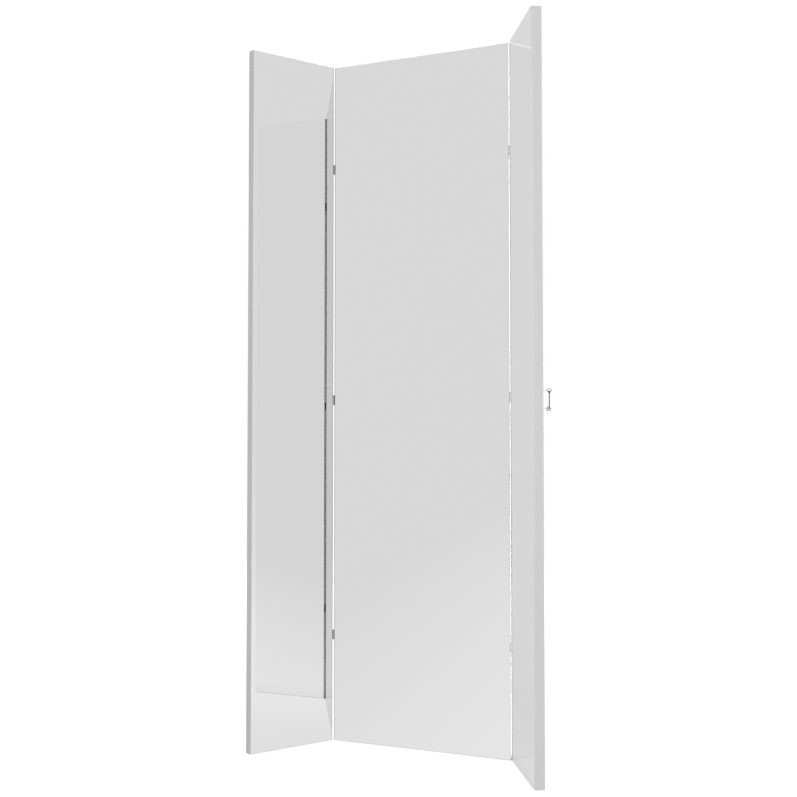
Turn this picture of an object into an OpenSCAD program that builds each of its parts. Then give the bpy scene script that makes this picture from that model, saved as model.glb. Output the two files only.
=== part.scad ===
// Three-panel folding mirror screen: a centre panel and two half-width wings. Every panel is a timber
// frame with an inset board on each face and a mirror bonded over its whole front. The wings turn on
// small butt hinges in front of the mirror faces, so they can fold flat over the centre mirror, where
// a wire hook on one wing drops into a screw eye on the other. Open, the hook hangs in a lower eye.

/* [Screen] */
// Height of the screen
screen_h = 1800; // [1200:10:2100]
// Width of the centre panel
centre_w = 491; // [380:1:700]
// Thickness of a panel from mirror face to back
panel_t = 26; // [22:0.5:34]
// Inside angle between the centre panel and each wing as the screen stands
stand_angle = 120; // [70:1:180]
// Gap between the wings' free edges once both are folded over the centre
meeting_gap = 2; // [1:0.5:6]

/* [Mirror] */
// Thickness of the mirror glass
glass_t = 4; // [3:0.5:6]
// Width of the polished arris round the face of the glass
arris = 0.5; // [0.4:0.1:2.5]
// Height of the glass edge above the floor
glass_lift = 1.5; // [0.5:0.5:6]

/* [Frame] */
// Width of a stile
stile_w = 45; // [36:1:70]
// Height of a top rail
top_rail_h = 60; // [45:1:90]
// Height of a middle rail
middle_rail_h = 60; // [45:1:90]
// Height of a bottom rail
bottom_rail_h = 80; // [50:1:120]
// Thickness of a tenon
tenon_t = 7; // [5:0.5:9]
// Length of a tenon
tenon_l = 22; // [12:1:26]
// Step from the edge of a rail to the edge of its tenon
shoulder = 10; // [6:1:16]
// Space left for glue at the blind end of a mortise
glue_gap = 1; // [0.5:0.5:3]
// Chamfer along the outer back edges of the frame
edge_chamfer = 0.6; // [0.5:0.1:3]

/* [Boards] */
// Thickness of the board that carries the mirror
mirror_board_t = 3; // [2:0.5:5]
// Thickness of the back board
back_board_t = 3; // [2:0.5:5]
// Width of the rebate that holds a board
rebate_w = 12; // [6:1:18]
// Clearance round the edge of a board in its rebate
board_fit = 0.5; // [0.2:0.1:1.5]
// Depth of a back board's face below the back of the frame
board_recess = 1; // [0.5:0.1:2]

/* [Hinges] */
// Height of the lowest hinges above the floor
low_hinge = 278; // [100:5:400]
// Distance of the highest hinges below the top edge
high_hinge = 279; // [100:5:400]
// Length of a hinge
hinge_l = 25; // [24:1:60]
// Width of the flat part of a hinge leaf
leaf_w = 15; // [11:0.5:18]
// Thickness of a hinge leaf
leaf_t = 1; // [0.8:0.1:1.4]
// Diameter of the knuckles
knuckle_d = 3; // [3:0.2:6]
// Number of knuckles on a hinge
knuckle_count = 5; // [3:2:7]
// Gap between neighbouring knuckles
knuckle_gap = 0.2; // [0.1:0.05:0.6]
// Diameter of a hinge pin
pin_d = 1.6; // [1.2:0.1:2.4]
// Radial clearance of the pin in the knuckles
pin_clearance = 0.05; // [0.02:0.01:0.1]
// Thickness of the button at each end of a pin
button_t = 0.8; // [0.4:0.1:1.5]
// Distance of the hinge axis in front of the mirror faces
axis_lead = 1.2; // [1:0.1:3]

/* [Hinge screws] */
// Diameter of the shank
screw_d = 2.5; // [2:0.1:3.5]
// Length of a hinge screw
screw_l = 16; // [10:1:18]
// Diameter of the countersunk head
screw_head_d = 4.6; // [4:0.1:6]
// Distance between the two screws of a leaf
screw_pitch = 15; // [12:1:40]
// Radial clearance of a screw in its holes
screw_fit = 0.1; // [0.05:0.05:0.2]

/* [Latch] */
// Height of the hook's pivot above the floor
latch_h = 903; // [600:1:1200]
// Distance of a screw eye from the free edge of its wing
eye_inset = 18; // [10:1:24]
// Distance from the back of a wing to the middle of a screw eye's ring
eye_reach = 18; // [10:0.5:24]
// Mean diameter of a screw eye's ring
eye_ring_d = 9; // [9:0.5:16]
// Diameter of a screw eye's wire
eye_wire_d = 2.4; // [2:0.1:4]
// Diameter of a screw eye's threaded shank
eye_shank_d = 2.4; // [2:0.1:3.6]
// Length of the shank in the timber
eye_shank_l = 14; // [8:1:18]
// Diameter of the hook's wire
hook_wire_d = 2.2; // [1.8:0.1:3.2]
// Clearance between the hook's ring and the wire that it hangs on
hook_clearance = 0.6; // [0.5:0.1:1]
// Bend radius of the hook
hook_bend = 4; // [3:0.5:6]
// Length of the hook's tip, measured from the middle of its rod
hook_tip = 12; // [9:0.5:18]
// Depth of the catching eye below the rod of the closed hook
catch_drop = 5; // [4:0.5:7]
// Distance from the hanging hook's rod to the eye that its tip rests in
rest_offset = 7; // [5:0.5:9]

/* [Hidden] */
$fn = 48;

// How far a cutting shape runs past the face that it opens
cut = 1;

// The knuckles are tangent to the panel ends, so their radius sets the joint
setback = knuckle_d / 2;
axis_x = centre_w / 2 + setback;
axis_y = -panel_t / 2 - axis_lead;
wing_w = axis_x - meeting_gap / 2 - setback;
wing_turn = 180 - stand_angle;

frame_d = panel_t - glass_t;
back_board_y = panel_t - board_recess - back_board_t;
tenon_y = (glass_t + mirror_board_t + back_board_y - tenon_t) / 2;

low_rail = [0, bottom_rail_h];
middle_rail = [(screen_h - middle_rail_h) / 2, (screen_h + middle_rail_h) / 2];
top_rail = [screen_h - top_rail_h, screen_h];

hinge_z = [low_hinge, screen_h / 2, screen_h - high_hinge];
knuckle_pitch = hinge_l / knuckle_count;
// The flat of a leaf starts clear of the other leaf's knuckles
leaf_start = knuckle_d / 2 + 0.4;
button_d = (knuckle_d + pin_d) / 2 + 0.2;

eye_ring_r = eye_ring_d / 2;
eye_x = wing_w - eye_inset;
eye_y = panel_t + eye_reach;
hook_ring_r = (eye_wire_d + hook_wire_d) / 2 + hook_clearance;
// From pivot to tip the hook spans both insets and the gap between the wings
hook_l = 2 * eye_inset + meeting_gap;

// Distance from the hinge end and height of each screw eye on its wing
hook_eye_at = [eye_x, latch_h + eye_ring_r];
rest_eye_at = [eye_x - rest_offset, latch_h - hook_l];
catch_eye_at = [eye_x, latch_h - catch_drop];

// ---- Places of the panels -------------------------------------------------------------------------
// A panel is drawn with its hinge end at x = 0, its mirror face at y = 0 and its foot at z = 0.

module place_centre() {
    translate([-centre_w / 2, -panel_t / 2, 0]) children();
}

module place_right_wing() {
    translate([axis_x, axis_y, 0])
        rotate(-wing_turn)
            translate([setback, axis_lead, 0]) children();
}

module place_left_wing() {
    mirror([1, 0, 0]) place_right_wing() children();
}

// Turns a shape made for the end at x = 0 round to the other end of a panel
module at_far_end(w) {
    translate([w, 0, 0]) mirror([1, 0, 0]) children();
}

// Puts a shape drawn about the hinge axis at height z of a panel's end
module at_hinge(z) {
    translate([-setback, -axis_lead, z]) children();
}

// ---- Panels ---------------------------------------------------------------------------------------

// Extrudes an outline drawn in depth and height along the width of a panel
module along_width(w) {
    rotate([90, 0, 90]) linear_extrude(w) children();
}

module mirror_glass(w) {
    color("gainsboro")
    intersection() {
        translate([0, 0, glass_lift])
            linear_extrude(screen_h - glass_lift)
                polygon([
                    [arris, 0], [w - arris, 0], [w, arris],
                    [w, glass_t], [0, glass_t], [0, arris]
                ]);
        along_width(w)
            polygon([
                [0, glass_lift + arris], [arris, glass_lift], [glass_t, glass_lift],
                [glass_t, screen_h], [arris, screen_h], [0, screen_h - arris]
            ]);
    }
}

// Block behind the glass, with its outer back edges chamfered
module frame_block(w) {
    intersection() {
        linear_extrude(screen_h)
            polygon([
                [0, glass_t], [w, glass_t], [w, panel_t - edge_chamfer],
                [w - edge_chamfer, panel_t], [edge_chamfer, panel_t], [0, panel_t - edge_chamfer]
            ]);
        along_width(w)
            polygon([
                [glass_t, 0], [panel_t - edge_chamfer, 0], [panel_t, edge_chamfer],
                [panel_t, screen_h - edge_chamfer], [panel_t - edge_chamfer, screen_h],
                [glass_t, screen_h]
            ]);
    }
}

// A board, or with a margin the pocket that it lies in
module board_blank(w, y, t, margin = 0) {
    inset = stile_w - rebate_w - margin;
    foot = bottom_rail_h - rebate_w - margin;
    head = screen_h - top_rail_h + rebate_w + margin;
    translate([inset, y, foot]) cube([w - 2 * inset, t, head - foot]);
}

module board_pockets(w) {
    board_blank(w, glass_t - cut, mirror_board_t + cut, board_fit);
    board_blank(w, back_board_y, back_board_t + board_recess + cut, board_fit);
}

module mirror_board(w) {
    color("tan") board_blank(w, glass_t, mirror_board_t);
}

module back_board(w) {
    color("lightgray") board_blank(w, back_board_y, back_board_t);
}

// Tenons at both ends of a rail, or with a margin the mortises that they fill
module tenons(w, span, margin = 0) {
    tongue = [tenon_l + margin, tenon_t, span[1] - span[0] - 2 * shoulder];
    translate([stile_w - tenon_l - margin, tenon_y, span[0] + shoulder]) cube(tongue);
    translate([w - stile_w, tenon_y, span[0] + shoulder]) cube(tongue);
}

module rail(w, span) {
    color("whitesmoke") {
        difference() {
            intersection() {
                frame_block(w);
                translate([stile_w, glass_t, span[0]])
                    cube([w - 2 * stile_w, frame_d, span[1] - span[0]]);
            }
            board_pockets(w);
        }
        tenons(w, span);
    }
}

// Stile at the hinge end; its screw holes follow the hinges
module hinge_stile(w) {
    color("whitesmoke")
    difference() {
        intersection() {
            frame_block(w);
            translate([0, glass_t, 0]) cube([stile_w, frame_d, screen_h]);
        }
        board_pockets(w);
        for (span = [low_rail, middle_rail, top_rail]) tenons(w, span, glue_gap);
        for (z = hinge_z) at_hinge(z) hinge_screws(screw_fit);
    }
}

// Stile at the free end, with a hole for the shank of each of its screw eyes
module free_stile(w, eyes) {
    color("whitesmoke")
    difference() {
        intersection() {
            frame_block(w);
            translate([w - stile_w, glass_t, 0]) cube([stile_w, frame_d, screen_h]);
        }
        board_pockets(w);
        for (span = [low_rail, middle_rail, top_rail]) tenons(w, span, glue_gap);
        for (eye = eyes)
            translate([eye[0], panel_t + cut, eye[1]])
                rotate([90, 0, 0])
                    cylinder(d = eye_shank_d + 2 * screw_fit, h = eye_shank_l + glue_gap + cut);
    }
}

// ---- Hinges ---------------------------------------------------------------------------------------
// A leaf is drawn about the hinge axis, for a panel that begins at x = setback.

module hinge_leaf(first_knuckle) {
    color("dimgray")
    difference() {
        union() {
            translate([setback - leaf_t, leaf_start, -hinge_l / 2]) cube([leaf_t, leaf_w, hinge_l]);
            for (k = [first_knuckle : 2 : knuckle_count - 1])
                translate([0, 0, k * knuckle_pitch - (hinge_l - knuckle_gap) / 2])
                    linear_extrude(knuckle_pitch - knuckle_gap) {
                        circle(d = knuckle_d);
                        translate([setback - leaf_t, 0]) square([leaf_t, leaf_start + leaf_t]);
                    }
        }
        cylinder(d = pin_d + 2 * pin_clearance, h = hinge_l + cut, center = true);
        hinge_screws(screw_fit);
    }
}

// Riveted pin with a button at each end
module hinge_pin() {
    color("gray")
    rotate_extrude()
        polygon([
            [0, -hinge_l / 2 - button_t], [pin_d / 2, -hinge_l / 2 - button_t],
            [button_d / 2, -hinge_l / 2 - button_t / 2], [button_d / 2, -hinge_l / 2],
            [pin_d / 2, -hinge_l / 2], [pin_d / 2, hinge_l / 2],
            [button_d / 2, hinge_l / 2], [button_d / 2, hinge_l / 2 + button_t / 2],
            [pin_d / 2, hinge_l / 2 + button_t], [0, hinge_l / 2 + button_t]
        ]);
}

// The two countersunk screws of a leaf, or with a margin the holes that they pass through
module hinge_screws(margin = 0) {
    color("darkgray")
    for (z = [-screw_pitch / 2, screw_pitch / 2])
        translate([setback - leaf_t, leaf_start + leaf_w / 2, z])
            rotate([0, 90, 0]) {
                cylinder(d1 = screw_head_d + 2 * margin, d2 = screw_d + 2 * margin, h = leaf_t);
                cylinder(d = screw_d + 2 * margin, h = screw_l + margin);
            }
}

module hinge_screw_set() {
    for (z = hinge_z) at_hinge(z) hinge_screws();
}

// ---- Latch ----------------------------------------------------------------------------------------

module wire_ring(r, wire_d) {
    rotate_extrude() translate([r, 0]) circle(d = wire_d);
}

// A screw eye at a place on its wing, its ring level or, turned by 90, upright
module screw_eye(place, turn = 0) {
    color("silver")
    translate([place[0], eye_y, place[1]])
        rotate([0, turn, 0]) {
            wire_ring(eye_ring_r, eye_wire_d);
            translate([0, -eye_ring_r, 0])
                rotate([90, 0, 0])
                    cylinder(d = eye_shank_d, h = eye_reach - eye_ring_r + eye_shank_l);
        }
}

// Hook as it hangs: its ring round the lowest wire of its eye, its tip resting in the eye below
module latch_hook() {
    rod_l = hook_l - hook_ring_r - hook_bend;
    color("silver")
    translate([eye_x, eye_y, latch_h]) {
        rotate([90, 0, 0]) wire_ring(hook_ring_r, hook_wire_d);
        translate([0, 0, -hook_ring_r - rod_l]) cylinder(d = hook_wire_d, h = rod_l);
        translate([-hook_bend, 0, hook_bend - hook_l])
            rotate([90, 0, 0])
                rotate(-90)
                    rotate_extrude(angle = 90) translate([hook_bend, 0]) circle(d = hook_wire_d);
        translate([-hook_bend, 0, -hook_l])
            rotate([0, -90, 0]) cylinder(d = hook_wire_d, h = hook_tip - hook_bend);
        translate([-hook_tip, 0, -hook_l]) sphere(d = hook_wire_d);
    }
}

// ---- Centre panel ---------------------------------------------------------------------------------
place_centre() mirror_glass(centre_w);  // centre_mirror
place_centre() mirror_board(centre_w);  // centre_mirror_board
place_centre() hinge_stile(centre_w);  // centre_left_stile
place_centre() at_far_end(centre_w) hinge_stile(centre_w);  // centre_right_stile
place_centre() rail(centre_w, top_rail);  // centre_top_rail
place_centre() rail(centre_w, middle_rail);  // centre_middle_rail
place_centre() rail(centre_w, low_rail);  // centre_bottom_rail
place_centre() back_board(centre_w);  // centre_back_board

// ---- Left wing ------------------------------------------------------------------------------------
place_left_wing() mirror_glass(wing_w);  // left_mirror
place_left_wing() mirror_board(wing_w);  // left_mirror_board
place_left_wing() hinge_stile(wing_w);  // left_hinge_stile
place_left_wing() free_stile(wing_w, [catch_eye_at]);  // left_free_stile
place_left_wing() rail(wing_w, top_rail);  // left_top_rail
place_left_wing() rail(wing_w, middle_rail);  // left_middle_rail
place_left_wing() rail(wing_w, low_rail);  // left_bottom_rail
place_left_wing() back_board(wing_w);  // left_back_board

// ---- Right wing -----------------------------------------------------------------------------------
place_right_wing() mirror_glass(wing_w);  // right_mirror
place_right_wing() mirror_board(wing_w);  // right_mirror_board
place_right_wing() hinge_stile(wing_w);  // right_hinge_stile
place_right_wing() free_stile(wing_w, [hook_eye_at, rest_eye_at]);  // right_free_stile
place_right_wing() rail(wing_w, top_rail);  // right_top_rail
place_right_wing() rail(wing_w, middle_rail);  // right_middle_rail
place_right_wing() rail(wing_w, low_rail);  // right_bottom_rail
place_right_wing() back_board(wing_w);  // right_back_board

// ---- Left hinges ----------------------------------------------------------------------------------
place_centre() at_hinge(hinge_z[0]) hinge_leaf(0);  // left_low_hinge_fixed_leaf
place_left_wing() at_hinge(hinge_z[0]) hinge_leaf(1);  // left_low_hinge_moving_leaf
place_centre() at_hinge(hinge_z[0]) hinge_pin();  // left_low_hinge_pin
place_centre() at_hinge(hinge_z[1]) hinge_leaf(0);  // left_middle_hinge_fixed_leaf
place_left_wing() at_hinge(hinge_z[1]) hinge_leaf(1);  // left_middle_hinge_moving_leaf
place_centre() at_hinge(hinge_z[1]) hinge_pin();  // left_middle_hinge_pin
place_centre() at_hinge(hinge_z[2]) hinge_leaf(0);  // left_top_hinge_fixed_leaf
place_left_wing() at_hinge(hinge_z[2]) hinge_leaf(1);  // left_top_hinge_moving_leaf
place_centre() at_hinge(hinge_z[2]) hinge_pin();  // left_top_hinge_pin
place_centre() hinge_screw_set();  // left_hinge_fixed_screws
place_left_wing() hinge_screw_set();  // left_hinge_moving_screws

// ---- Right hinges ---------------------------------------------------------------------------------
place_centre() at_far_end(centre_w) at_hinge(hinge_z[0]) hinge_leaf(0);  // right_low_hinge_fixed_leaf
place_right_wing() at_hinge(hinge_z[0]) hinge_leaf(1);  // right_low_hinge_moving_leaf
place_centre() at_far_end(centre_w) at_hinge(hinge_z[0]) hinge_pin();  // right_low_hinge_pin
place_centre() at_far_end(centre_w) at_hinge(hinge_z[1]) hinge_leaf(0);  // right_middle_hinge_fixed_leaf
place_right_wing() at_hinge(hinge_z[1]) hinge_leaf(1);  // right_middle_hinge_moving_leaf
place_centre() at_far_end(centre_w) at_hinge(hinge_z[1]) hinge_pin();  // right_middle_hinge_pin
place_centre() at_far_end(centre_w) at_hinge(hinge_z[2]) hinge_leaf(0);  // right_top_hinge_fixed_leaf
place_right_wing() at_hinge(hinge_z[2]) hinge_leaf(1);  // right_top_hinge_moving_leaf
place_centre() at_far_end(centre_w) at_hinge(hinge_z[2]) hinge_pin();  // right_top_hinge_pin
place_centre() at_far_end(centre_w) hinge_screw_set();  // right_hinge_fixed_screws
place_right_wing() hinge_screw_set();  // right_hinge_moving_screws

// ---- Latch ----------------------------------------------------------------------------------------
place_right_wing() screw_eye(hook_eye_at, 90);  // hook_eye
place_right_wing() screw_eye(rest_eye_at, 90);  // rest_eye
place_left_wing() screw_eye(catch_eye_at);  // catch_eye
place_right_wing() latch_hook();
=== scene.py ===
"""Looks of a three-panel folding mirror screen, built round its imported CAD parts."""

import math
import random

import bmesh
import bpy
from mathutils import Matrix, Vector


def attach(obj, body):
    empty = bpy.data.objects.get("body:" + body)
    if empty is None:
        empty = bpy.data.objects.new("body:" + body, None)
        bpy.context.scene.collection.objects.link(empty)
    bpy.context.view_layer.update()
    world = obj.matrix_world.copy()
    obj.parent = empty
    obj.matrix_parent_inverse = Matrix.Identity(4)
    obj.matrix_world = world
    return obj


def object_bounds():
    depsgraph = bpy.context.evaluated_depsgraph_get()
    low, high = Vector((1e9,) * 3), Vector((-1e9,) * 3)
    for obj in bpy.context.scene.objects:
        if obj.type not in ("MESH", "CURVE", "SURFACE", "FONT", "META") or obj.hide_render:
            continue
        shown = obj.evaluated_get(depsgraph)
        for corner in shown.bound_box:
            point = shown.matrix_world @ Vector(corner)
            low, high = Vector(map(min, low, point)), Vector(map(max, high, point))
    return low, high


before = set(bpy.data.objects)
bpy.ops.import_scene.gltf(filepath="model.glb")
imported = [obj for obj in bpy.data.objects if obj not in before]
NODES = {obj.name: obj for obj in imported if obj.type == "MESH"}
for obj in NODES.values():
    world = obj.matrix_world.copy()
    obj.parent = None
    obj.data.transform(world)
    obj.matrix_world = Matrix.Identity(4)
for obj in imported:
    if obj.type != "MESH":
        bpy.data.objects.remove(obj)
CAD_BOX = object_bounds()

# Lengths are in metres and angles in degrees. A grey or a brightness of 1 is white.

# ---- Panels ---------------------------------------------------------------------------------------
# The body that each panel rides on, and the direction in which the panel lies from its hinge end
PANELS = {
    "centre": ("centre", Vector((1.0, 0.0, 0.0))),
    "left": ("left_wing", Vector((-0.5, -math.sqrt(0.75), 0.0))),
    "right": ("right_wing", Vector((0.5, -math.sqrt(0.75), 0.0))),
}
# The angle about Z by which each panel is turned from the centre panel's line
TURNS = {"centre": 0.0, "left": 60.0, "right": -60.0}
UP = Vector((0.0, 0.0, 1.0))

# ---- Camera ---------------------------------------------------------------------------------------
CAMERA_PLACE = (1.1609, -2.7750, 0.7864)
CAMERA_PAN = 23.820
CAMERA_TILT = 2.185
FARTHEST_SEEN = 400.0
LENS = 52.30        # in millimetres, like the sensor
SENSOR = 36.0


def make_camera():
    data = bpy.data.cameras.new("camera")
    data.lens = LENS
    data.sensor_width = SENSOR
    data.clip_end = FARTHEST_SEEN
    camera = bpy.data.objects.new("camera", data)
    camera.location = CAMERA_PLACE
    camera.rotation_euler = (math.radians(90 + CAMERA_TILT), 0, math.radians(CAMERA_PAN))
    bpy.context.scene.collection.objects.link(camera)
    bpy.context.scene.camera = camera


# ---- Node helpers ---------------------------------------------------------------------------------
class Nodes:
    """Short calls for building a node tree."""

    def __init__(self, tree):
        self.tree = tree

    def add(self, kind, inputs=None, **settings):
        """A node with its settings, and its inputs by name or number set or linked."""
        node = self.tree.nodes.new(kind)
        for key, value in settings.items():
            setattr(node, key, value)
        for key, value in (inputs or {}).items():
            self.put(node, key, value)
        return node

    def put(self, node, key, value):
        if isinstance(value, bpy.types.NodeSocket):
            self.tree.links.new(value, node.inputs[key])
        else:
            node.inputs[key].default_value = value

    def math(self, operation, a, b=0.0, c=0.0):
        return self.add("ShaderNodeMath", {0: a, 1: b, 2: c}, operation=operation).outputs[0]

    def dot(self, a, b):
        node = self.add("ShaderNodeVectorMath", {0: a, 1: b}, operation="DOT_PRODUCT")
        return node.outputs["Value"]

    def axes(self, vector):
        """X, Y and Z of a vector, by name."""
        return self.add("ShaderNodeSeparateXYZ", {0: vector}).outputs

    def spread(self, value, low, high, to_low=0.0, to_high=1.0):
        """value's span from low to high, stretched to another span and held inside it."""
        node = self.add("ShaderNodeMapRange", {0: value, 1: low, 2: high, 3: to_low, 4: to_high})
        return node.outputs[0]

    def mix(self, share, a, b):
        """Colour a at share 0 and b at share 1."""
        return self.add("ShaderNodeMix", {0: share, 6: a, 7: b}, data_type="RGBA").outputs[2]

    def mix_shaders(self, share, a, b):
        """Shader a at share 0 and b at share 1."""
        return self.add("ShaderNodeMixShader", {0: share, 1: a, 2: b}).outputs[0]

    def matt(self, colour):
        return self.add("ShaderNodeBsdfDiffuse", {"Color": colour}).outputs[0]

    def place(self):
        """The point in the object's own coordinates, which turn with its body."""
        return self.add("ShaderNodeTexCoord").outputs["Object"]

    def noise(self, vector, scale, detail=3.0, roughness=0.5):
        node = self.add(
            "ShaderNodeTexNoise",
            {"Vector": vector, "Scale": scale, "Detail": detail, "Roughness": roughness},
        )
        return node.outputs["Fac"]

    def streaks(self, vector, scales, detail=3.0, roughness=0.5, turn=0.0):
        """Noise with a scale for each axis, after vector is turned about Z by an angle."""
        if turn:
            spin = self.add("ShaderNodeVectorRotate", {"Vector": vector, "Angle": math.radians(-turn)})
            vector = spin.outputs[0]
        scaled = self.add("ShaderNodeMapping", {"Vector": vector, "Scale": scales}).outputs[0]
        return self.noise(scaled, 1.0, detail, roughness)

    def bump(self, height, distance, normal=None):
        node = self.add("ShaderNodeBump", {"Height": height, "Distance": distance})
        if normal is not None:
            self.put(node, "Normal", normal)
        return node.outputs[0]

    def worn_edge(self, radius):
        """0 on a flat face and towards 1 within a radius of a sharp edge."""
        rounded = self.add("ShaderNodeBevel", {"Radius": radius}, samples=4).outputs[0]
        true = self.add("ShaderNodeNewGeometry").outputs["Normal"]
        return self.spread(self.dot(rounded, true), 0.995, 0.80)

    def rays(self):
        """1 for a ray straight from the camera, and 1 for a ray that glass or metal reflects."""
        ray = self.add("ShaderNodeLightPath").outputs
        return ray["Is Camera Ray"], ray["Is Glossy Ray"]


def grey(level, tint=(1.0, 1.0, 1.0)):
    """A grey as a colour with its alpha, tinted where a tint is given."""
    return tuple(level * t for t in tint) + (1.0,)


def new_material(name):
    """A material, its node helper and its shader."""
    material = bpy.data.materials.new(name)
    material.use_nodes = True
    shader = material.node_tree.nodes["Principled BSDF"]
    return material, Nodes(material.node_tree), shader


# ---- Light ----------------------------------------------------------------------------------------
# Brightness of the even studio, as the mirrors show it and as it lights the object
STUDIO_IN_MIRRORS = 0.709
STUDIO_LIGHT = 0.54

# Light overhead, which only mirrors and metal show
OVERHEAD_LIGHT = 6.0
OVERHEAD_HEIGHTS = (0.48, 0.70)     # Z of a direction, where the light begins and where it is full
OVERHEAD_DEPTHS = (0.02, 0.30)      # the same for Y

# Bright panel of light far behind the screen, in the studio, and a glowing strip painted into the floor
# before it that only the mirrors show, a painted reflection; both are placed where the end face of the
# centre panel mirrors them to the camera, in the right joint
BACK_LIGHT = 6.0
MIRRORED_VIEW = (0.316, 0.949, 0.0)     # the view into that joint, mirrored by the end face
BACK_PANEL_COSINES = (0.90, 0.97)       # cosine to that view, where the panel begins and is full
GLOW_STRIP_OFFSET = 0.237                    # how far the middle line of the painted glowing strip passes from the origin
GLOW_STRIP_HALF_WIDTH = 0.20
GLOW_STRIP_FLARE = 0.12                      # how much its half width grows with each metre
GLOW_STRIP_FADE = 1.5                        # how many half widths out it has faded away
GLOW_STRIP_START = (0.015, 0.04)             # Y where it begins and where it is full

# Pool of light on the floor, as the mirrors show it
POOL_LIGHT = 0.155          # how much it adds, as a share of the studio's brightness
POOL_EDGE = -0.80           # X of its left edge beside the screen
POOL_LEAN = 0.25            # how much further left that edge lies with each metre from the screen
POOL_SOFTENING = 0.15       # how much softer it gets with each metre
POOL_RISE = 1.1             # how far from its edge the pool is full
POOL_END = 1.9              # X from which it fades again

FLOOR_REACH = 120.0         # from its middle to a side
FLOOR_DROP = 0.0002         # how far it lies below the object
FLOOR_PAINT = 0.80
FLOOR_PAINT_SEEN = 0.45     # its paint and its glow as the camera sees it
FLOOR_GLOW_SEEN = 0.78

# Place, diameter and watts of each lamp
LAMPS = {
    "key": ((4.2, -3.9, 1.5), 3.2, 142.0),
    "fill": ((-3.2, -2.2, 1.6), 3.0, 22.0),
    "back": ((1.6, 3.4, 1.6), 3.0, 58.0),
    "far_side": ((-3.6, 2.6, 1.6), 3.0, 50.0),
}


def make_world():
    """An even dome of light. The camera sees it white, and mirrors see a pale grey studio."""
    world = bpy.data.worlds.new("studio")
    bpy.context.scene.world = world
    world.use_nodes = True
    n = Nodes(world.node_tree)
    seen, reflected = n.rays()
    direction = n.add("ShaderNodeTexCoord").outputs["Generated"]
    axes = n.axes(direction)
    overhead = n.spread(axes["Z"], *OVERHEAD_HEIGHTS)
    overhead = n.math("MULTIPLY", overhead, n.spread(axes["Y"], *OVERHEAD_DEPTHS))
    studio = n.math("MULTIPLY_ADD", overhead, OVERHEAD_LIGHT, STUDIO_IN_MIRRORS)
    flat = n.add("ShaderNodeVectorMath", {0: direction, 1: (1.0, 1.0, 0.0)}, operation="MULTIPLY")
    flat = n.add("ShaderNodeVectorMath", {0: flat.outputs[0]}, operation="NORMALIZE")
    panel = n.spread(n.dot(flat.outputs[0], MIRRORED_VIEW), *BACK_PANEL_COSINES, 0.0, BACK_LIGHT)
    studio = n.math("MAXIMUM", studio, panel)
    level = n.math("MULTIPLY_ADD", reflected, n.math("SUBTRACT", studio, STUDIO_LIGHT), STUDIO_LIGHT)
    level = n.math("MULTIPLY_ADD", seen, n.math("SUBTRACT", 1.0, level), level)
    background = world.node_tree.nodes["Background"]
    n.put(background, "Strength", level)
    n.put(background, "Color", grey(1.0))


def floor_in_mirrors(n):
    """Brightness of the floor as the mirrors show it: a painted pool of light, and a painted glowing
    strip.
    """
    axes = n.axes(n.add("ShaderNodeNewGeometry").outputs["Position"])
    away = n.math("ABSOLUTE", axes["Y"])

    inside = n.math("MULTIPLY_ADD", away, POOL_LEAN, n.math("SUBTRACT", axes["X"], POOL_EDGE))
    softness = n.math("MULTIPLY_ADD", away, POOL_SOFTENING, 1.0)
    pool = n.spread(n.math("DIVIDE", inside, softness), 0.0, POOL_RISE, 0.0, POOL_LIGHT)
    fade = n.math("DIVIDE", POOL_END, n.math("MAXIMUM", axes["X"], POOL_END))
    pool = n.math("MULTIPLY", pool, fade)
    lit = n.math("MULTIPLY_ADD", pool, STUDIO_IN_MIRRORS, STUDIO_IN_MIRRORS)

    # The board below is no real board: it is a glowing strip painted into the floor, a painted reflection
    # of light into the right joint
    sideways, backwards, _ = MIRRORED_VIEW
    across = n.math("MULTIPLY_ADD", axes["Y"], -sideways, -GLOW_STRIP_OFFSET)
    across = n.math("ABSOLUTE", n.math("MULTIPLY_ADD", axes["X"], backwards, across))
    across = n.math("DIVIDE", across, n.math("MULTIPLY_ADD", away, GLOW_STRIP_FLARE, GLOW_STRIP_HALF_WIDTH))
    board = n.spread(across, 1.0, GLOW_STRIP_FADE, 1.0, 0.0)
    board = n.math("MULTIPLY", board, n.spread(axes["Y"], *GLOW_STRIP_START))
    return n.math("MAXIMUM", lit, n.math("MULTIPLY", board, BACK_LIGHT))


def floor_material():
    """White to the camera, pale grey in the mirrors with a painted pool of light and a painted glowing
    strip, and painted to everything else.
    """
    material = bpy.data.materials.new("floor")
    material.use_nodes = True
    material.node_tree.nodes.clear()
    n = Nodes(material.node_tree)
    seen, reflected = n.rays()
    paint = n.math("MULTIPLY_ADD", seen, FLOOR_PAINT_SEEN - FLOOR_PAINT, FLOOR_PAINT)
    paint = n.math("MULTIPLY", paint, n.math("SUBTRACT", 1.0, reflected))
    colour = n.add("ShaderNodeCombineColor", {0: paint, 1: paint, 2: paint}).outputs[0]
    glow = n.math("MULTIPLY", seen, FLOOR_GLOW_SEEN)
    glow = n.math("MULTIPLY_ADD", reflected, floor_in_mirrors(n), glow)
    emission = n.add("ShaderNodeEmission", {"Strength": glow}).outputs[0]
    both = n.add("ShaderNodeAddShader", {0: n.matt(colour), 1: emission}).outputs[0]
    n.add("ShaderNodeOutputMaterial", {"Surface": both})
    return material


def make_floor():
    mesh = bpy.data.meshes.new("floor")
    build = bmesh.new()
    bmesh.ops.create_grid(build, x_segments=8, y_segments=8, size=FLOOR_REACH)
    build.to_mesh(mesh)
    build.free()
    mesh.materials.append(floor_material())
    floor = bpy.data.objects.new("floor", mesh)
    floor.location.z = -FLOOR_DROP
    bpy.context.scene.collection.objects.link(floor)


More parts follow.
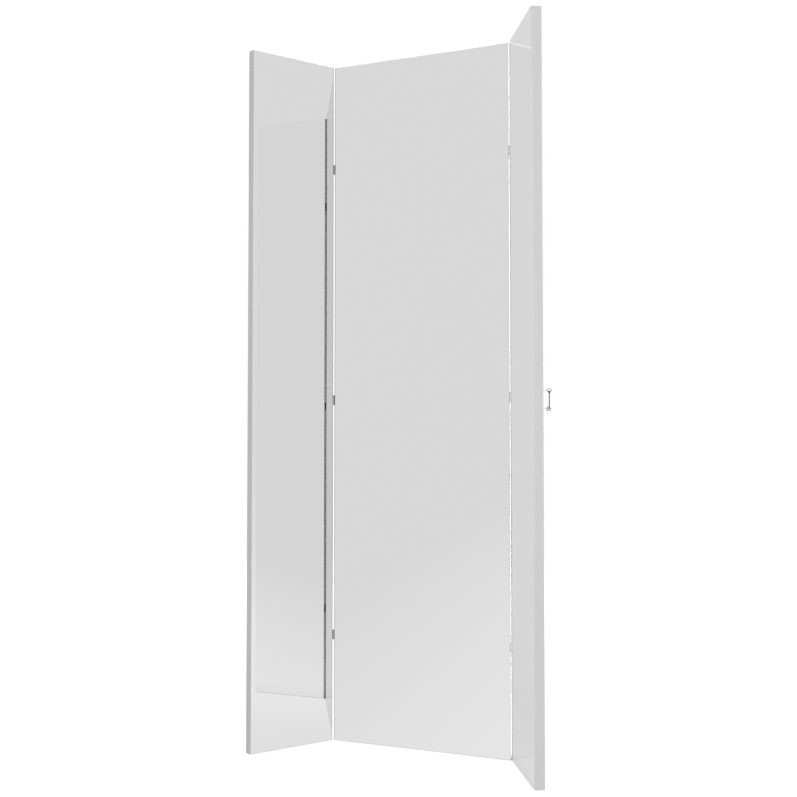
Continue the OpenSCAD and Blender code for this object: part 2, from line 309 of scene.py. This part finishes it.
def area_lamp(name, place, target, size, power):
    """A round lamp that is itself unseen, also in the mirrors."""
    data = bpy.data.lights.new(name, "AREA")
    data.shape = "DISK"
    data.size = size
    data.energy = power
    lamp = bpy.data.objects.new(name, data)
    lamp.location = place
    lamp.rotation_mode = "QUATERNION"
    lamp.rotation_quaternion = (target - Vector(place)).to_track_quat("-Z", "Y")
    lamp.visible_glossy = False
    lamp.visible_camera = False
    bpy.context.scene.collection.objects.link(lamp)


def make_light():
    middle = (CAD_BOX[0] + CAD_BOX[1]) / 2
    for name, (place, size, power) in LAMPS.items():
        area_lamp(name, place, middle, size, power)


# ---- Materials ------------------------------------------------------------------------------------
SILVER = 0.969                      # reflectance of a mirror
JOINT_SHADE_REACH = (0.0012, 0.0018)     # how far from its hinge end the dark strip of painted joint shade ends: where the silver begins and where it is whole
HIGHLIGHT_BLUR = 0.0002                # half the height in which the white band above it begins, a painted highlight

# Dimming of the mirrors, as shares of the mirror that a dark layer hides: a film where light glances
# along the glass, darker glass low down where it is seen aslant, and painted shade at the foot
LOW_DIMMING = 0.130                    # darker on the lower part, where the glass is seen aslant
LOW_DIMMING_HEIGHTS = (0.16, 0.36)     # where it begins to thin out and where it ends
GLANCING_FILM = 0.20                # on all of the glass, where light glances along it
FOOT_SHADE_HEIGHTS = (0.012, 0.034)       # where the painted shade at the foot begins to thin out and where it ends

# How far glass is turned from the eye, from 0 for square on to 1 for edge on: where it begins to
# count as seen aslant or glancing, and where it counts in full
ASLANT_FROM = (0.50, 0.72)
ASLANT_TO = (0.90, 0.84)
GLANCING_FROM = (0.88, 0.955)

# Scales of the grain of upright and of level timber, the smallest along the timber
UPRIGHT_GRAIN = (260, 260, 14)
LEVEL_GRAIN = (14, 260, 260)

# Direction of the side of each joint's hinges that is painted silver-bright, a painted highlight
HIGHLIGHT_SIDES = {"left": (-0.5, -0.866, 0.0), "right": (0.8, -0.6, 0.0)}

# Order of the materials on a glass
MIRROR, EDGE, ARRIS, SEALER_AND_SHADE = range(4)

# How much of a face's unit normal lies in a direction, at the least, when it looks that way
SQUARE_ON = 0.99
ASLANT = 0.4
BARELY = 0.1


def dimming_share(n, height, foot_shade):
    """Share of a mirror that the dark layer hides: low down where seen aslant, a film along glancing
    light, and painted shade at its foot.
    """
    facing = n.add("ShaderNodeLayerWeight", {"Blend": 0.5}).outputs["Facing"]
    low = n.spread(height, *LOW_DIMMING_HEIGHTS, LOW_DIMMING, 0.0)
    aslant = n.math("MULTIPLY", n.spread(facing, *ASLANT_FROM), n.spread(facing, *ASLANT_TO))
    glancing = n.spread(facing, *GLANCING_FROM, 0.0, GLANCING_FILM)
    dimming = n.math("MULTIPLY_ADD", low, aslant, glancing)
    # Painted shade at the foot, where the floor beside the panel lies in shade
    return n.math("ADD", dimming, n.spread(height, *FOOT_SHADE_HEIGHTS, foot_shade, 0.0))


def mirror_material(name, along, hinge_end, joint_shade, highlight_from, foot_shade):
    """Silvered glass. Light that glances along the glass is dimmed by the fine film on it.

    The silver stops short of the hinge end, found at that place along the panel, leaving a dark strip
    there as painted shade for the joint, as dark as is given. Above the given height the glass is a
    white band, a painted highlight along its top. The last argument is the share of the glass that
    painted shade darkens just above the floor.
    """
    material, n, shader = new_material(name)
    place = n.place()
    height = n.axes(place)["Z"]
    smear = n.streaks(place, (9.0, 9.0, 3.0), detail=4.0, roughness=0.6)
    silver = n.mix(smear, grey(SILVER), grey(SILVER - 0.0005, (1.0, 1.0, 0.9995)))
    # Painted shade for the joint: the silver stops short beside the hinge end, leaving a dark strip
    joint_shade_reach = [hinge_end + inset for inset in JOINT_SHADE_REACH]
    joint_shade_strip = n.spread(n.dot(place, along), *joint_shade_reach, joint_shade, 0.0)
    n.put(shader, "Base Color", n.mix(joint_shade_strip, silver, grey(0.02)))
    n.put(shader, "Metallic", 1.0)
    n.put(shader, "Roughness", n.spread(smear, 0.3, 0.75, 0.0, 0.012))
    wave = n.streaks(place, (2.0, 2.0, 5.0), detail=1.0)
    n.put(shader, "Normal", n.bump(wave, distance=0.00002))
    # Dark layer for the film, the darker lower part and the painted shade at the foot
    dimming = n.matt(n.mix(smear, grey(0.16), grey(0.20)))
    # White band along the top of the glass: a painted highlight
    top_highlight = n.matt(n.mix(smear, grey(0.93), grey(0.96)))
    highlight_share = n.spread(height, highlight_from - HIGHLIGHT_BLUR, highlight_from + HIGHLIGHT_BLUR)
    surface = n.mix_shaders(dimming_share(n, height, foot_shade), shader.outputs[0], dimming)
    surface = n.mix_shaders(highlight_share, surface, top_highlight)
    n.put(material.node_tree.nodes["Material Output"], "Surface", surface)
    return material


def panel_mirror(panel, joint_shade, top_highlight, foot_shade):
    """The mirror material of a panel, fitted to its glass.

    The white band at its top, a painted highlight, is as high as given. The painted shade of the joint
    and the painted shade at the foot are as in mirror_material.
    """
    along = PANELS[panel][1]
    glass = NODES[f"{panel}_mirror"].data
    hinge_end = min(vertex.co.dot(along) for vertex in glass.vertices)
    top = max(vertex.co.z for vertex in glass.vertices)
    return mirror_material(f"mirror_{panel}", along, hinge_end, joint_shade, top - top_highlight, foot_shade)


def glass_edge_material(name, greys, roughness, silver=0.0):
    """Edge of the mirror glass, its grinding lines along the glass. silver is its metallic share."""
    material, n, shader = new_material(name)
    darkest, lightest = greys
    streak = n.streaks(n.place(), (40.0, 40.0, 600.0), detail=2.0)
    n.put(shader, "Base Color", n.mix(streak, grey(darkest, (0.985, 1.0, 0.995)), grey(lightest)))
    n.put(shader, "Roughness", n.spread(streak, 0.2, 0.8, *roughness))
    n.put(shader, "Normal", n.bump(streak, distance=0.00001))
    n.put(shader, "IOR", 1.52)
    n.put(shader, "Metallic", silver)
    return material


def lacquer_material(name, grain_scales, turn):
    """Satin light grey lacquer on timber, with its faint grain and rubbed edges."""
    material, n, shader = new_material(name)
    place = n.place()
    grain = n.streaks(place, grain_scales, detail=4.0, roughness=0.65, turn=turn)
    cloud = n.noise(place, 3.0, detail=2.0)
    peel = n.noise(place, 900.0, detail=1.0)
    base = n.mix(cloud, grey(0.580), grey(0.610))
    base = n.mix(n.spread(grain, 0.45, 0.75, 0.0, 0.35), base, grey(0.55))
    worn = n.math("MULTIPLY", n.worn_edge(radius=0.0012), n.noise(place, 60.0, detail=2.0))
    n.put(shader, "Base Color", n.mix(worn, base, grey(0.69, (1.0, 0.99, 0.975))))
    n.put(shader, "Roughness", n.spread(grain, 0.3, 0.7, 0.34, 0.46))
    fine = n.bump(peel, distance=0.00001)
    n.put(shader, "Normal", n.bump(grain, distance=0.00010, normal=fine))
    n.put(shader, "Specular IOR Level", 0.4)
    return material


def hardboard_material(name, light, dark, weave):
    """Pressed fibre board, its fibres lying every way. weave is how much they show."""
    material, n, shader = new_material(name)
    place = n.place()
    cloud = n.noise(place, 6.0, detail=3.0)
    upright = n.streaks(place, (700.0, 700.0, 140.0), detail=3.0, roughness=0.7)
    level = n.streaks(place, (160.0, 160.0, 700.0), detail=3.0, roughness=0.7)
    mesh = n.math("MAXIMUM", upright, level)
    base = n.mix(cloud, light, dark)
    n.put(shader, "Base Color", n.mix(n.spread(mesh, 0.5, 0.8, 0.0, weave), base, dark))
    n.put(shader, "Roughness", n.spread(mesh, 0.4, 0.8, 0.55, 0.75))
    n.put(shader, "Normal", n.bump(mesh, distance=0.00012))
    return material


def dark_steel_material(name, highlight_side):
    """Blackened steel, rubbed brighter along its edges, with a painted highlight: silver-bright and
    smoother on the side that faces the given direction.
    """
    material, n, shader = new_material(name)
    place = n.place()
    patch = n.noise(place, 220.0, detail=3.0)
    brush = n.streaks(place, (1800.0, 1800.0, 90.0), detail=2.0)
    base = n.mix(patch, grey(0.03), grey(0.06, (1.0, 0.98, 0.95)))
    rubbed = n.math("MULTIPLY", n.worn_edge(radius=0.0003), n.spread(brush, 0.35, 0.7))
    base = n.mix(rubbed, base, grey(0.30))
    normal = n.add("ShaderNodeNewGeometry").outputs["Normal"]
    # Painted highlight: the side that faces the given direction is silver-bright and smoother
    painted_highlight = n.spread(n.dot(normal, highlight_side), 0.20, 0.50)
    n.put(shader, "Base Color", n.mix(painted_highlight, base, grey(0.97)))
    n.put(shader, "Metallic", 1.0)
    rough = n.spread(patch, 0.3, 0.7, 0.30, 0.48)
    n.put(shader, "Roughness", n.math("MULTIPLY_ADD", painted_highlight, -0.20, rough))
    n.put(shader, "Normal", n.bump(brush, distance=0.00003))
    return material


def steel_material(name, greys, roughness, line_depth=0.00002):
    """Plain steel with fine brushed lines of that depth."""
    material, n, shader = new_material(name)
    place = n.place()
    darkest, lightest = greys
    patch = n.noise(place, 160.0, detail=3.0)
    brush = n.streaks(place, (2400.0, 2400.0, 300.0), detail=2.0)
    n.put(shader, "Base Color", n.mix(patch, grey(darkest), grey(lightest, (1.0, 0.995, 0.985))))
    n.put(shader, "Metallic", 1.0)
    n.put(shader, "Roughness", n.spread(brush, 0.3, 0.7, *roughness))
    n.put(shader, "Normal", n.bump(brush, distance=line_depth))
    return material


def paint(node, *materials):
    """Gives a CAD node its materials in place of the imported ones."""
    mesh = NODES[node].data
    mesh.materials.clear()
    for material in materials:
        mesh.materials.append(material)


def front_of(node):
    """Direction in which the mirror face of a glass looks."""
    faces = [face for face in NODES[node].data.polygons if face.normal.y < -ASLANT]
    return max(faces, key=lambda face: face.area).normal.copy()


def paint_glass(node, mirror, edge, arris, sealer_and_shade):
    """Mirror on the front of a glass and on its lower arris, ground glass on its other edges.

    Whatever looks backwards is sealed dark, and so are the hinge ends of the wings, which look backwards
    too: there the dark sealer is painted shade for the groove of each joint.
    """
    paint(node, mirror, edge, arris, sealer_and_shade)
    front = front_of(node)
    for face in NODES[node].data.polygons:
        lean = face.normal.dot(front)
        if lean > SQUARE_ON or (lean > ASLANT and face.normal.z < -ASLANT):
            face.material_index = MIRROR
        # Backward faces take the dark sealer; on the wings' hinge ends it is painted shade for the joint
        elif face.normal.y > BARELY:
            face.material_index = SEALER_AND_SHADE
        elif lean > ASLANT:
            face.material_index = ARRIS
        else:
            face.material_index = EDGE


def paint_mirrors():
    # Per panel: how dark the painted shade of the joint is, the height of the white band of painted
    # highlight at the top, and the share of painted shade at the foot
    mirrors = {
        "centre": panel_mirror("centre", joint_shade=0.80, top_highlight=0.0030, foot_shade=0.0),
        "left": panel_mirror("left", joint_shade=0.75, top_highlight=0.0005, foot_shade=0.0),
        "right": panel_mirror("right", joint_shade=1.0, top_highlight=0.0005, foot_shade=0.05),
    }
    edge = glass_edge_material("glass_edge", greys=(0.58, 0.64), roughness=(0.18, 0.32))
    arris = glass_edge_material("glass_arris", greys=(0.86, 0.92), roughness=(0.12, 0.24), silver=0.25)
    # Dark sealer, also used as painted shade on the wings' hinge ends
    sealer_and_shade = glass_edge_material("edge_sealer_and_joint_shade", greys=(0.020, 0.035), roughness=(0.45, 0.65))
    for panel, mirror in mirrors.items():
        paint_glass(f"{panel}_mirror", mirror, edge, arris, sealer_and_shade)


def paint_frames():
    """Lacquer on the stiles and rails, and hardboard behind the glass and on the back."""
    board = hardboard_material("back_board", light=grey(0.60), dark=grey(0.52), weave=0.5)
    brown = hardboard_material(
        "mirror_board", light=(0.32, 0.20, 0.11, 1.0), dark=(0.20, 0.12, 0.06, 1.0), weave=0.8
    )
    for panel, turn in TURNS.items():
        paint(f"{panel}_mirror_board", brown)
        paint(f"{panel}_back_board", board)
        upright = lacquer_material(f"lacquer_{panel}_upright", UPRIGHT_GRAIN, turn)
        level = lacquer_material(f"lacquer_{panel}_level", LEVEL_GRAIN, turn)
        for name in NODES:
            if name.startswith(f"{panel}_") and name.endswith("_stile"):
                paint(name, upright)
            elif name.startswith(f"{panel}_") and name.endswith("_rail"):
                paint(name, level)


def paint_metal():
    """Dark hinges with plain pins and screws, and a black wire hook with bright eyes."""
    # Each joint has its own copy of the hinge steel, with its painted highlight on another side
    hinges = {
        side: dark_steel_material(f"dark_steel_{side}", way) for side, way in HIGHLIGHT_SIDES.items()
    }
    pin = steel_material("pin_steel", greys=(0.26, 0.34), roughness=(0.22, 0.34))
    screw = steel_material("screw_steel", greys=(0.42, 0.52), roughness=(0.24, 0.36), line_depth=0.00003)
    nickel = steel_material("nickel", greys=(0.42, 0.48), roughness=(0.10, 0.20), line_depth=0.00001)
    black_wire = steel_material("black_wire", greys=(0.02, 0.04), roughness=(0.30, 0.45))
    for name in NODES:
        if name.endswith("_leaf"):
            paint(name, hinges[name.split("_")[0]])
        elif name.endswith("_pin"):
            paint(name, pin)
        elif name.endswith("_screws"):
            paint(name, screw)
        elif name.endswith("_eye"):
            paint(name, nickel)
        elif name == "latch_hook":
            paint(name, black_wire)


# ---- Small parts that the CAD leaves out ----------------------------------------------------------
PIN_INSET = 0.006           # from an edge of the back board
PIN_SPACING = 0.10
PIN_STRAY = 0.0015          # how far a pin is out of place
PIN_SUNK = 0.00005
HEAD_RADIUS = 0.0016
HEAD_HEIGHT = 0.0007
HEAD_STEPS = 12
HEAD_PROFILE = [(1.0, 0.0), (1.0, 0.35), (0.85, 0.72), (0.50, 0.94)]    # parts of radius and height

ARM_LENGTH = 0.00125        # of the cross recess in a screw's head
ARM_HALF_WIDTH = 0.00030
CROSS_SUNK = 0.00010
CROSS_PROUD = 0.00003
FACE_DEPTH = 0.00002        # points this near to the outermost lie on a screw's face
SCREW_GAP = 0.004           # points further apart in height lie on two screws


def add_piece(name, build, material, body):
    """Ends a bmesh as an object of the part that rides on a body."""
    mesh = bpy.data.meshes.new(name)
    build.to_mesh(mesh)
    build.free()
    for face in mesh.polygons:
        face.use_smooth = len(face.vertices) == 4
    mesh.materials.append(material)
    piece = bpy.data.objects.new(name, mesh)
    bpy.context.scene.collection.objects.link(piece)
    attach(piece, body)


def add_pin_head(build, middle, side, up, out):
    """A low dome with a rounded rim, standing on a surface whose outward direction is out."""
    rings = []
    for reach, rise in HEAD_PROFILE:
        ring = []
        for i in range(HEAD_STEPS):
            angle = 2 * math.pi * i / HEAD_STEPS
            around = side * math.cos(angle) + up * math.sin(angle)
            point = middle + around * HEAD_RADIUS * reach + out * HEAD_HEIGHT * rise
            ring.append(build.verts.new(point))
        rings.append(ring)
    tip = build.verts.new(middle + out * HEAD_HEIGHT)
    foot = build.verts.new(middle)
    for low, high in zip(rings, rings[1:]):
        for i in range(HEAD_STEPS):
            build.faces.new([low[i - 1], low[i], high[i], high[i - 1]])
    for i in range(HEAD_STEPS):
        build.faces.new([rings[-1][i - 1], rings[-1][i], tip])
        build.faces.new([rings[0][i], rings[0][i - 1], foot])


def add_board_pins(panel, material):
    """Round pin heads that hold a back board in its rebate, near its edges."""
    body, along = PANELS[panel]
    out = UP.cross(along)
    if out.y < 0:
        out = -out
    chance = random.Random(11)
    points = [vertex.co for vertex in NODES[f"{panel}_back_board"].data.vertices]
    face = max(point.dot(out) for point in points)
    reaches = [point.dot(along) for point in points]
    levels = [point.z for point in points]
    width = max(reaches) - min(reaches) - 2 * PIN_INSET
    height = max(levels) - min(levels) - 2 * PIN_INSET
    columns = round(width / PIN_SPACING)
    rows = round(height / PIN_SPACING)
    spots = [(i / columns, j) for i in range(columns + 1) for j in (0, 1)]
    spots += [(i, j / rows) for i in (0, 1) for j in range(1, rows)]
    build = bmesh.new()
    for i, j in spots:
        reach = min(reaches) + PIN_INSET + width * i + chance.uniform(-PIN_STRAY, PIN_STRAY)
        level = min(levels) + PIN_INSET + height * j + chance.uniform(-PIN_STRAY, PIN_STRAY)
        middle = along * reach + out * (face - PIN_SUNK) + UP * level
        add_pin_head(build, middle, along, UP, out)
    add_piece(f"{panel}_board_pins", build, material, body)


def screw_heads(points, out, across):
    """Middle of each screw's head, lowest first, for a column of screws that face out."""
    face = max(point.dot(out) for point in points)
    on_face = [point for point in points if point.dot(out) > face - FACE_DEPTH]
    on_face.sort(key=lambda point: point.z)
    groups = [[on_face[0]]]
    for point in on_face[1:]:
        if point.z - groups[-1][-1].z > SCREW_GAP:
            groups.append([])
        groups[-1].append(point)
    middles = []
    for group in groups:
        depth = (min(p.dot(across) for p in group) + max(p.dot(across) for p in group)) / 2
        level = (min(p.z for p in group) + max(p.z for p in group)) / 2
        middles.append(out * face + across * depth + UP * level)
    return middles


def add_cross(build, middle, one, two, out):
    """A flat cross with its arms along one and two, standing a little out of a face."""
    long, short = ARM_LENGTH, ARM_HALF_WIDTH
    half = [(long, -short), (long, short), (short, short), (short, long), (-short, long), (-short, short)]
    outline = half + [(-a, -b) for a, b in half]
    low = [build.verts.new(middle + one * a + two * b - out * CROSS_SUNK) for a, b in outline]
    high = [build.verts.new(middle + one * a + two * b + out * CROSS_PROUD) for a, b in outline]
    build.faces.new(high)
    build.faces.new(low[::-1])
    for i in range(len(outline)):
        build.faces.new([low[i - 1], low[i], high[i], high[i - 1]])


def add_recesses(side, leaf, panel, towards_joint, material):
    """Crosses in the heads of one leaf's screws, each turned its own way, painted dark as the shade
    inside their recesses.

    towards_joint is 1 where the joint lies at the panel's far end, and -1 where it lies at its start.
    """
    body, along = PANELS[panel]
    out = along * towards_joint
    across = UP.cross(out)
    chance = random.Random(5)
    points = [vertex.co for vertex in NODES[f"{side}_hinge_{leaf}_screws"].data.vertices]
    build = bmesh.new()
    for middle in screw_heads(points, out, across):
        turn = chance.uniform(0, math.pi / 2)
        one = across * math.cos(turn) + UP * math.sin(turn)
        two = UP * math.cos(turn) - across * math.sin(turn)
        add_cross(build, middle, one, two, out)
    add_piece(f"{side}_hinge_{leaf}_recesses", build, material, body)


def add_small_parts():
    pin = steel_material("board_pin", greys=(0.46, 0.58), roughness=(0.20, 0.34))
    # Dark steel for the crosses: painted shade inside the screw recesses
    recess_shade = steel_material("screw_recess_shade", greys=(0.03, 0.06), roughness=(0.40, 0.60))
    for panel in PANELS:
        add_board_pins(panel, pin)
    for side, centre_end in [("left", -1.0), ("right", 1.0)]:
        add_recesses(side, "fixed", "centre", centre_end, recess_shade)
        add_recesses(side, "moving", side, -1.0, recess_shade)


make_camera()
make_world()
make_floor()
make_light()
paint_mirrors()
paint_frames()
paint_metal()
add_small_parts()

bpy.context.scene.view_settings.view_transform = "Standard"
